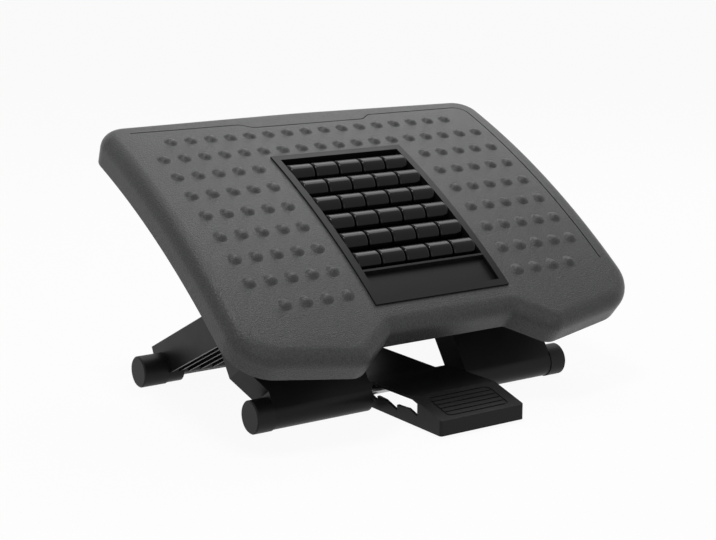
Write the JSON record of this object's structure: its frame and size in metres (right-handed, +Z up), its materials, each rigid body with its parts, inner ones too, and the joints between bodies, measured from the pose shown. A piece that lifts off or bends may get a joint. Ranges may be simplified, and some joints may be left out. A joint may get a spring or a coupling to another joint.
{
  "type": "tilting under desk footrest",
  "caption": "Under-desk footrest: a studded arched footplate with a tray of massage rollers, tilting on a folding two-leg base set by a foot pedal.",
  "frame": {"origin": "on the floor, under the centre of the bounding box at rest", "axes": "+X across the width, +Y towards the rear (away from the user), +Z up"},
  "size_m": [0.455, 0.34, 0.2602],
  "materials": {
    "plate_plastic": "finely textured charcoal grey moulding",
    "leg_plastic": "smooth satin black moulding",
    "bracket_plastic": "plain black moulding",
    "tray_plastic": "glossy black moulding",
    "roller_plastic": "polished black moulding",
    "cap_rubber": "moulded black rubber",
    "washer_plastic": "dark acetal, unpolished",
    "steel": "bright drawn steel"
  },
  "bodies": {
    "rear_frame": {"rear_leg": "leg_plastic", "rear_cap_left": "cap_rubber", "rear_cap_right": "cap_rubber"},
    "front_frame": {"front_leg": "leg_plastic", "front_cap_left": "cap_rubber", "front_cap_right": "cap_rubber", "lock_rod": "steel"},
    "hinge_shaft": {"hinge_rod": "steel", "hinge_washers": "washer_plastic", "hinge_clips": "steel"},
    "platform": {"footplate": "plate_plastic", "roller_tray": "tray_plastic", "roller_axles": "steel", "hinge_bracket_left": "bracket_plastic", "hinge_bracket_right": "bracket_plastic", "bracket_screws": "steel"},
    "pivot_shaft": {"pivot_rod": "steel", "pivot_spacers": "washer_plastic", "pedal_spring": "steel"},
    "foot_pedal": {"pedal": "leg_plastic"},
    "roller_r1_c1_body": {"roller_r1_c1": "roller_plastic"},
    "roller_r1_c2_body": {"roller_r1_c2": "roller_plastic"},
    "roller_r1_c3_body": {"roller_r1_c3": "roller_plastic"},
    "roller_r1_c4_body": {"roller_r1_c4": "roller_plastic"},
    "roller_r1_c5_body": {"roller_r1_c5": "roller_plastic"},
    "roller_r2_c1_body": {"roller_r2_c1": "roller_plastic"},
    "roller_r2_c2_body": {"roller_r2_c2": "roller_plastic"},
    "roller_r2_c3_body": {"roller_r2_c3": "roller_plastic"},
    "roller_r2_c4_body": {"roller_r2_c4": "roller_plastic"},
    "roller_r2_c5_body": {"roller_r2_c5": "roller_plastic"},
    "roller_r3_c1_body": {"roller_r3_c1": "roller_plastic"},
    "roller_r3_c2_body": {"roller_r3_c2": "roller_plastic"},
    "roller_r3_c3_body": {"roller_r3_c3": "roller_plastic"},
    "roller_r3_c4_body": {"roller_r3_c4": "roller_plastic"},
    "roller_r3_c5_body": {"roller_r3_c5": "roller_plastic"},
    "roller_r4_c1_body": {"roller_r4_c1": "roller_plastic"},
    "roller_r4_c2_body": {"roller_r4_c2": "roller_plastic"},
    "roller_r4_c3_body": {"roller_r4_c3": "roller_plastic"},
    "roller_r4_c4_body": {"roller_r4_c4": "roller_plastic"},
    "roller_r4_c5_body": {"roller_r4_c5": "roller_plastic"},
    "roller_r5_c1_body": {"roller_r5_c1": "roller_plastic"},
    "roller_r5_c2_body": {"roller_r5_c2": "roller_plastic"},
    "roller_r5_c3_body": {"roller_r5_c3": "roller_plastic"},
    "roller_r5_c4_body": {"roller_r5_c4": "roller_plastic"},
    "roller_r5_c5_body": {"roller_r5_c5": "roller_plastic"},
    "roller_r6_c1_body": {"roller_r6_c1": "roller_plastic"},
    "roller_r6_c2_body": {"roller_r6_c2": "roller_plastic"},
    "roller_r6_c3_body": {"roller_r6_c3": "roller_plastic"},
    "roller_r6_c4_body": {"roller_r6_c4": "roller_plastic"},
    "roller_r6_c5_body": {"roller_r6_c5": "roller_plastic"}
  },
  "joints": [
    {"name": "leg_spread", "type": "hinge", "parent": "rear_frame", "child": "front_frame", "pos_m": [0, 0.00613, 0.1097], "axis": [-1, 0, 0], "range_deg": [0, 56.26]},
    {"name": "platform_tilt", "type": "hinge", "parent": "hinge_shaft", "child": "platform", "pos_m": [0, 0.00613, 0.1097], "axis": [-1, 0, 0], "range_deg": [0, 30]},
    {"name": "pedal_lift", "type": "hinge", "parent": "pivot_shaft", "child": "foot_pedal", "pos_m": [0, 0.13198, 0.0155], "axis": [-1, 0, 0], "range_deg": [0, 1], "stiffness_Nm_per_rad": 1, "springref_deg": 20.05},
    {"name": "hinge_shaft_follow", "type": "hinge", "parent": "rear_frame", "child": "hinge_shaft", "pos_m": [0, 0.00613, 0.1097], "axis": [-1, 0, 0], "range_deg": [0, 28.14]},
    {"name": "pedal_shaft_follow", "type": "hinge", "parent": "rear_frame", "child": "pivot_shaft", "pos_m": [0, 0.13198, 0.0155], "axis": [-1, 0, 0], "range_deg": [0, 22.11]},
    {"name": "roller_r1_c1_spin", "type": "hinge", "parent": "platform", "child": "roller_r1_c1_body", "pos_m": [0, 0.05689, 0.21044], "axis": [1, 0, 0], "continuous": true},
    {"name": "roller_r1_c2_spin", "type": "hinge", "parent": "platform", "child": "roller_r1_c2_body", "pos_m": [0, 0.05689, 0.21044], "axis": [1, 0, 0], "continuous": true},
    {"name": "roller_r1_c3_spin", "type": "hinge", "parent": "platform", "child": "roller_r1_c3_body", "pos_m": [0, 0.05689, 0.21044], "axis": [1, 0, 0], "continuous": true},
    {"name": "roller_r1_c4_spin", "type": "hinge", "parent": "platform", "child": "roller_r1_c4_body", "pos_m": [0, 0.05689, 0.21044], "axis": [1, 0, 0], "continuous": true},
    {"name": "roller_r1_c5_spin", "type": "hinge", "parent": "platform", "child": "roller_r1_c5_body", "pos_m": [0, 0.05689, 0.21044], "axis": [1, 0, 0], "continuous": true},
    {"name": "roller_r2_c1_spin", "type": "hinge", "parent": "platform", "child": "roller_r2_c1_body", "pos_m": [0, 0.0333, 0.19822], "axis": [1, 0, 0], "continuous": true},
    {"name": "roller_r2_c2_spin", "type": "hinge", "parent": "platform", "child": "roller_r2_c2_body", "pos_m": [0, 0.0333, 0.19822], "axis": [1, 0, 0], "continuous": true},
    {"name": "roller_r2_c3_spin", "type": "hinge", "parent": "platform", "child": "roller_r2_c3_body", "pos_m": [0, 0.0333, 0.19822], "axis": [1, 0, 0], "continuous": true},
    {"name": "roller_r2_c4_spin", "type": "hinge", "parent": "platform", "child": "roller_r2_c4_body", "pos_m": [0, 0.0333, 0.19822], "axis": [1, 0, 0], "continuous": true},
    {"name": "roller_r2_c5_spin", "type": "hinge", "parent": "platform", "child": "roller_r2_c5_body", "pos_m": [0, 0.0333, 0.19822], "axis": [1, 0, 0], "continuous": true},
    {"name": "roller_r3_c1_spin", "type": "hinge", "parent": "platform", "child": "roller_r3_c1_body", "pos_m": [0, 0.01005, 0.18535], "axis": [1, 0, 0], "continuous": true},
    {"name": "roller_r3_c2_spin", "type": "hinge", "parent": "platform", "child": "roller_r3_c2_body", "pos_m": [0, 0.01005, 0.18535], "axis": [1, 0, 0], "continuous": true},
    {"name": "roller_r3_c3_spin", "type": "hinge", "parent": "platform", "child": "roller_r3_c3_body", "pos_m": [0, 0.01005, 0.18535], "axis": [1, 0, 0], "continuous": true},
    {"name": "roller_r3_c4_spin", "type": "hinge", "parent": "platform", "child": "roller_r3_c4_body", "pos_m": [0, 0.01005, 0.18535], "axis": [1, 0, 0], "continuous": true},
    {"name": "roller_r3_c5_spin", "type": "hinge", "parent": "platform", "child": "roller_r3_c5_body", "pos_m": [0, 0.01005, 0.18535], "axis": [1, 0, 0], "continuous": true},
    {"name": "roller_r4_c1_spin", "type": "hinge", "parent": "platform", "child": "roller_r4_c1_body", "pos_m": [0, -0.01282, 0.17184], "axis": [1, 0, 0], "continuous": true},
    {"name": "roller_r4_c2_spin", "type": "hinge", "parent": "platform", "child": "roller_r4_c2_body", "pos_m": [0, -0.01282, 0.17184], "axis": [1, 0, 0], "continuous": true},
    {"name": "roller_r4_c3_spin", "type": "hinge", "parent": "platform", "child": "roller_r4_c3_body", "pos_m": [0, -0.01282, 0.17184], "axis": [1, 0, 0], "continuous": true},
    {"name": "roller_r4_c4_spin", "type": "hinge", "parent": "platform", "child": "roller_r4_c4_body", "pos_m": [0, -0.01282, 0.17184], "axis": [1, 0, 0], "continuous": true},
    {"name": "roller_r4_c5_spin", "type": "hinge", "parent": "platform", "child": "roller_r4_c5_body", "pos_m": [0, -0.01282, 0.17184], "axis": [1, 0, 0], "continuous": true},
    {"name": "roller_r5_c1_spin", "type": "hinge", "parent": "platform", "child": "roller_r5_c1_body", "pos_m": [0, -0.03531, 0.15768], "axis": [1, 0, 0], "continuous": true},
    {"name": "roller_r5_c2_spin", "type": "hinge", "parent": "platform", "child": "roller_r5_c2_body", "pos_m": [0, -0.03531, 0.15768], "axis": [1, 0, 0], "continuous": true},
    {"name": "roller_r5_c3_spin", "type": "hinge", "parent": "platform", "child": "roller_r5_c3_body", "pos_m": [0, -0.03531, 0.15768], "axis": [1, 0, 0], "continuous": true},
    {"name": "roller_r5_c4_spin", "type": "hinge", "parent": "platform", "child": "roller_r5_c4_body", "pos_m": [0, -0.03531, 0.15768], "axis": [1, 0, 0], "continuous": true},
    {"name": "roller_r5_c5_spin", "type": "hinge", "parent": "platform", "child": "roller_r5_c5_body", "pos_m": [0, -0.03531, 0.15768], "axis": [1, 0, 0], "continuous": true},
    {"name": "roller_r6_c1_spin", "type": "hinge", "parent": "platform", "child": "roller_r6_c1_body", "pos_m": [0, -0.05739, 0.1429], "axis": [1, 0, 0], "continuous": true},
    {"name": "roller_r6_c2_spin", "type": "hinge", "parent": "platform", "child": "roller_r6_c2_body", "pos_m": [0, -0.05739, 0.1429], "axis": [1, 0, 0], "continuous": true},
    {"name": "roller_r6_c3_spin", "type": "hinge", "parent": "platform", "child": "roller_r6_c3_body", "pos_m": [0, -0.05739, 0.1429], "axis": [1, 0, 0], "continuous": true},
    {"name": "roller_r6_c4_spin", "type": "hinge", "parent": "platform", "child": "roller_r6_c4_body", "pos_m": [0, -0.05739, 0.1429], "axis": [1, 0, 0], "continuous": true},
    {"name": "roller_r6_c5_spin", "type": "hinge", "parent": "platform", "child": "roller_r6_c5_body", "pos_m": [0, -0.05739, 0.1429], "axis": [1, 0, 0], "continuous": true}
  ],
  "couplings": [
    {"joint": "hinge_shaft_follow", "follows": "leg_spread", "ratio": 0.5},
    {"joint": "pedal_shaft_follow", "follows": "leg_spread", "ratio": 0.39286}
  ]
}
